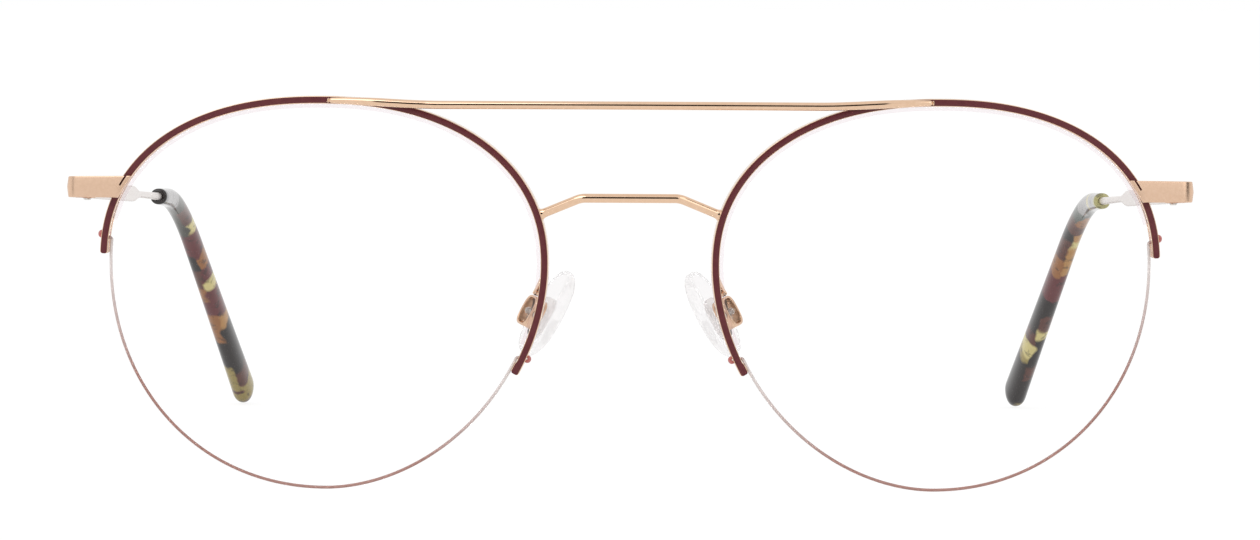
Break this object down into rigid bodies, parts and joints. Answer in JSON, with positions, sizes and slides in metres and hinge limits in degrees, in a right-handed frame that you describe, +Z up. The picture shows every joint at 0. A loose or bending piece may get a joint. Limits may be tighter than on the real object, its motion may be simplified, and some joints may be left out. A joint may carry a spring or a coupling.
{
  "type": "eyeglass frame",
  "caption": "Half-rim wire eyeglass frame with round lenses held by a nylon cord, double bridge, folding temples with moulded tips and rocking nose pads.",
  "frame": {"origin": "bottom centre of the bounding box of the open frame, standing on its lenses and temple tips", "axes": "+X to the wearer's left, -Y the way the wearer looks, +Z up"},
  "size_m": [0.1332, 0.1344, 0.0466],
  "materials": {
    "burgundy_enamel": "gloss enamel on plated wire",
    "rose_gold": "polished rose gold plate",
    "pale_metal": "satin pale plate",
    "screw_steel": "bright",
    "tortoise_acetate": "polished mottled acetate",
    "demo_lens": "clear",
    "nylon_cord": "translucent nylon",
    "nylon_liner": "translucent nylon",
    "clear_silicone": "clear soft silicone",
    "insert_plastic": "translucent"
  },
  "bodies": {
    "front": {"bridge": "rose_gold", "brow_bar": "rose_gold", "rim_left": "burgundy_enamel", "rim_right": "burgundy_enamel", "rim_liner_left": "nylon_liner", "rim_liner_right": "nylon_liner", "lens_left": "demo_lens", "lens_right": "demo_lens", "cord_left": "nylon_cord", "cord_right": "nylon_cord", "endpiece_left": "rose_gold", "endpiece_right": "rose_gold", "hinge_front_left": "rose_gold", "hinge_front_right": "rose_gold", "hinge_screw_left": "screw_steel", "hinge_screw_right": "screw_steel", "pad_arm_left": "rose_gold", "pad_arm_right": "rose_gold", "pad_box_left": "rose_gold", "pad_box_right": "rose_gold", "pad_screw_left": "screw_steel", "pad_screw_right": "screw_steel"},
    "temple_left_body": {"temple_left": "pale_metal", "temple_tip_left": "tortoise_acetate", "hinge_temple_left": "rose_gold"},
    "temple_right_body": {"temple_right": "pale_metal", "temple_tip_right": "tortoise_acetate", "hinge_temple_right": "rose_gold"},
    "nose_pad_left_body": {"nose_pad_left": "clear_silicone", "pad_insert_left": "insert_plastic"},
    "nose_pad_right_body": {"nose_pad_right": "clear_silicone", "pad_insert_right": "insert_plastic"}
  },
  "joints": [
    {"name": "temple_hinge_left", "type": "hinge", "parent": "front", "child": "temple_left_body", "pos_m": [0.0646, -0.05685, 0.0354], "axis": [0, 0.0532, 0.9986], "range_deg": [0, 85]},
    {"name": "temple_hinge_right", "type": "hinge", "parent": "front", "child": "temple_right_body", "pos_m": [-0.0646, -0.05685, 0.0354], "axis": [0, -0.0532, -0.9986], "range_deg": [0, 77]},
    {"name": "pad_rock_left", "type": "hinge", "parent": "front", "child": "nose_pad_left_body", "pos_m": [0.0116, -0.0593, 0.02091], "axis": [-0.4145, -0.8934, -0.1731], "range_deg": [-8, 8]},
    {"name": "pad_rock_right", "type": "hinge", "parent": "front", "child": "nose_pad_right_body", "pos_m": [-0.0116, -0.0593, 0.02091], "axis": [0.4145, -0.8934, -0.1731], "range_deg": [-8, 8]}
  ]
}
